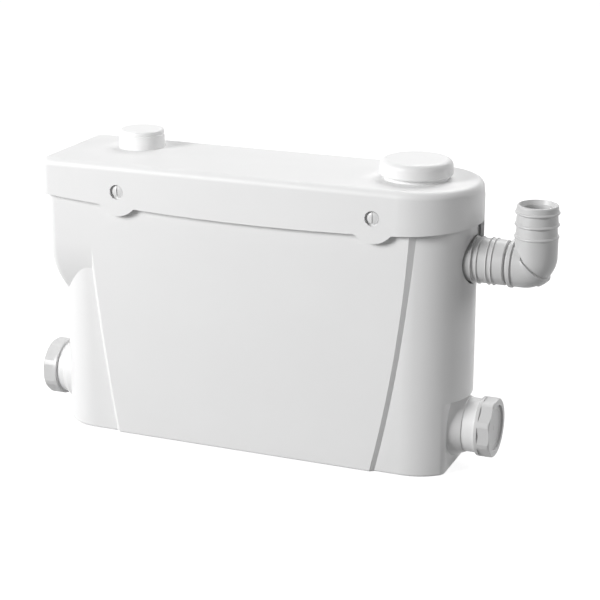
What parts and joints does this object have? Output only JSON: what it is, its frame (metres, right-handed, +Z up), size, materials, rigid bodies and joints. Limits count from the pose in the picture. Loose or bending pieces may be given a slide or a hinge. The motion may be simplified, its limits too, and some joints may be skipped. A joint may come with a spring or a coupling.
{
  "type": "sewage lifting unit",
  "caption": "Slim floor-standing sewage lifting unit with a screwed lid, side inlets, rear pan inlet, macerator pump and a swivelling discharge elbow.",
  "frame": {"origin": "middle of the tank's flat base, on the floor", "axes": "+Z up, +X towards the end with the discharge elbow, -Y to the plain front, +Y to the pan"},
  "size_m": [0.5135, 0.1642, 0.2876],
  "materials": {
    "tank_shell": "satin white moulding",
    "lid_shell": "satin white moulding",
    "fitting_plastic": "satin off-white moulding",
    "seal_rubber": "matt",
    "valve_rubber": "matt",
    "sleeve_rubber": "matt",
    "grey_plastic": "matt",
    "black_plastic": "matt",
    "plated_steel": "zinc plated",
    "bearing_steel": "ground",
    "core_steel": "laminated",
    "copper_winding": "enamelled wire",
    "motor_casing": "as cast",
    "filter_foam": "open foam",
    "capacitor_casing": "satin",
    "terminal_plastic": "matt",
    "gland_plastic": "satin"
  },
  "bodies": {
    "unit": {"tank": "tank_shell", "lid": "lid_shell", "lid_gasket": "seal_rubber", "lid_screws": "plated_steel", "inner_deck": "grey_plastic", "right_inlet_washer": "seal_rubber", "left_inlet_washer": "seal_rubber", "right_valve_seat": "grey_plastic", "left_valve_seat": "grey_plastic", "vent_filter": "filter_foam", "pan_sleeve": "sleeve_rubber", "pan_clamps": "plated_steel", "riser_pipe": "grey_plastic", "valve_housing": "grey_plastic", "discharge_valve_seat": "grey_plastic", "discharge_spigot": "grey_plastic", "discharge_hose": "fitting_plastic", "macerator_basket": "grey_plastic", "pump_casing": "grey_plastic", "seal_plate": "grey_plastic", "shaft_seal": "seal_rubber", "motor_can": "motor_casing", "lower_bearing": "bearing_steel", "upper_bearing": "bearing_steel", "stator_core": "core_steel", "stator_windings": "copper_winding", "pressure_bell": "grey_plastic", "pressure_diaphragm": "valve_rubber", "switch_housing": "black_plastic", "microswitch": "black_plastic", "capacitor": "capacitor_casing", "capacitor_clip": "black_plastic", "terminal_block": "terminal_plastic", "cable_gland": "gland_plastic", "gland_nut": "gland_plastic"},
    "rotor": {"motor_shaft": "bearing_steel", "rotor_core": "core_steel", "impeller": "black_plastic", "cutter": "bearing_steel", "cutter_nut": "bearing_steel"},
    "right_flap": {"right_valve_flap": "valve_rubber"},
    "left_flap": {"left_valve_flap": "valve_rubber"},
    "discharge_flap": {"discharge_valve_flap": "valve_rubber"},
    "right_blank": {"right_inlet_blank": "fitting_plastic"},
    "left_blank": {"left_inlet_blank": "fitting_plastic"},
    "right_nut": {"right_inlet_nut": "fitting_plastic"},
    "left_nut": {"left_inlet_nut": "fitting_plastic"},
    "vent_lid": {"vent_cap": "lid_shell"},
    "access_lid": {"access_cap": "lid_shell", "access_cap_seal": "seal_rubber"},
    "elbow": {"discharge_elbow": "fitting_plastic"},
    "plunger": {"switch_plunger": "grey_plastic"}
  },
  "joints": [
    {"name": "rotor_spin", "type": "hinge", "parent": "unit", "child": "rotor", "pos_m": [0.138, 0, 0.1], "axis": [0, 0, 1], "continuous": true},
    {"name": "right_flap_swing", "type": "hinge", "parent": "unit", "child": "right_flap", "pos_m": [0.20445, 0, 0.056], "axis": [0, 1, 0], "range_deg": [0, 50]},
    {"name": "left_flap_swing", "type": "hinge", "parent": "unit", "child": "left_flap", "pos_m": [-0.20445, 0, 0.056], "axis": [0, -1, 0], "range_deg": [0, 50]},
    {"name": "discharge_flap_swing", "type": "hinge", "parent": "unit", "child": "discharge_flap", "pos_m": [0.12355, 0, 0.2153], "axis": [0, -1, 0], "range_deg": [0, 60]},
    {"name": "right_blank_travel", "type": "slide", "parent": "unit", "child": "right_blank", "axis": [1, 0, 0], "range_m": [0, 0.0091]},
    {"name": "right_nut_turn", "type": "hinge", "parent": "right_blank", "child": "right_nut", "pos_m": [0.224, 0, 0.0402], "axis": [1, 0, 0], "range_deg": [0, 1080]},
    {"name": "left_blank_travel", "type": "slide", "parent": "unit", "child": "left_blank", "axis": [-1, 0, 0], "range_m": [0, 0.0091]},
    {"name": "left_nut_turn", "type": "hinge", "parent": "left_blank", "child": "left_nut", "pos_m": [-0.2274, 0, 0.0402], "axis": [-1, 0, 0], "range_deg": [0, 1080]},
    {"name": "vent_cap_lift", "type": "slide", "parent": "unit", "child": "vent_lid", "axis": [0, 0, 1], "range_m": [0, 0.018]},
    {"name": "access_cap_lift", "type": "slide", "parent": "unit", "child": "access_lid", "axis": [0, 0, 1], "range_m": [0, 0.02]},
    {"name": "elbow_swivel", "type": "hinge", "parent": "unit", "child": "elbow", "pos_m": [0.26, 0, 0.1995], "axis": [1, 0, 0], "range_deg": [-90, 90]},
    {"name": "plunger_lift", "type": "slide", "parent": "unit", "child": "plunger", "axis": [0, 0, 1], "range_m": [0, 0.003], "stiffness_N_per_m": 200}
  ],
  "couplings": [
    {"joint": "right_blank_travel", "follows": "right_nut_turn", "m_per_rad": 0.00047746},
    {"joint": "left_blank_travel", "follows": "left_nut_turn", "m_per_rad": 0.00047746}
  ]
}
